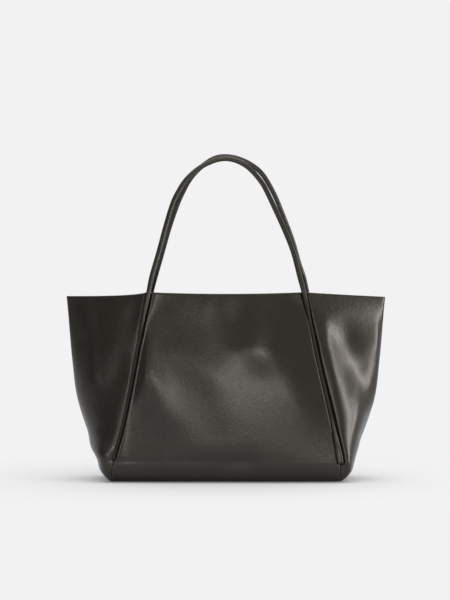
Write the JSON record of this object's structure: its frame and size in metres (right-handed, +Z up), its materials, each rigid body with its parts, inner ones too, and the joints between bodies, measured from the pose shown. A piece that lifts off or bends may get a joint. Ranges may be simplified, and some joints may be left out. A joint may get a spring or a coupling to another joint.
{
  "type": "shopper bag",
  "caption": "Open-topped wide leather shopper bag: tapered front and back panels between folded side gussets, with tall rolled loop handles sewn into the seams.",
  "frame": {"origin": "on the floor, under the middle of the base", "axes": "+X to the right along the width, +Y from the front to the back through the depth, +Z up"},
  "size_m": [0.514, 0.1774, 0.5204],
  "materials": {
    "dark_leather": "smooth semi-gloss leather, near black with a brown cast",
    "facing_leather": "smooth matte leather",
    "lining_cloth": "plain woven cotton",
    "cotton_cord": "twisted cotton core",
    "fibre_board": "raw fibre board",
    "snap_metal": "dark nickel plating"
  },
  "bodies": {
    "bag": {"front_panel": "dark_leather", "back_panel": "dark_leather", "left_gusset": "dark_leather", "right_gusset": "dark_leather", "base_board": "fibre_board", "lining": "lining_cloth", "mouth_facing": "facing_leather", "slip_pocket": "lining_cloth", "snap_socket": "snap_metal", "snap_stud": "snap_metal", "front_handle_left_leg": "dark_leather", "front_handle_left_leg_cord": "cotton_cord", "front_handle_right_leg": "dark_leather", "front_handle_right_leg_cord": "cotton_cord", "back_handle_left_leg": "dark_leather", "back_handle_left_leg_cord": "cotton_cord", "back_handle_right_leg": "dark_leather", "back_handle_right_leg_cord": "cotton_cord"},
    "front_handle": {"front_handle_loop": "dark_leather", "front_handle_loop_cord": "cotton_cord"},
    "back_handle": {"back_handle_loop": "dark_leather", "back_handle_loop_cord": "cotton_cord"}
  },
  "joints": [
    {"name": "front_handle_fold", "type": "hinge", "parent": "bag", "child": "front_handle", "pos_m": [0, -0.04799, 0.298], "axis": [1, 0, 0], "range_deg": [0, 178]},
    {"name": "back_handle_fold", "type": "hinge", "parent": "bag", "child": "back_handle", "pos_m": [0.005, 0.04799, 0.298], "axis": [-1, 0, 0], "range_deg": [0, 178]}
  ]
}
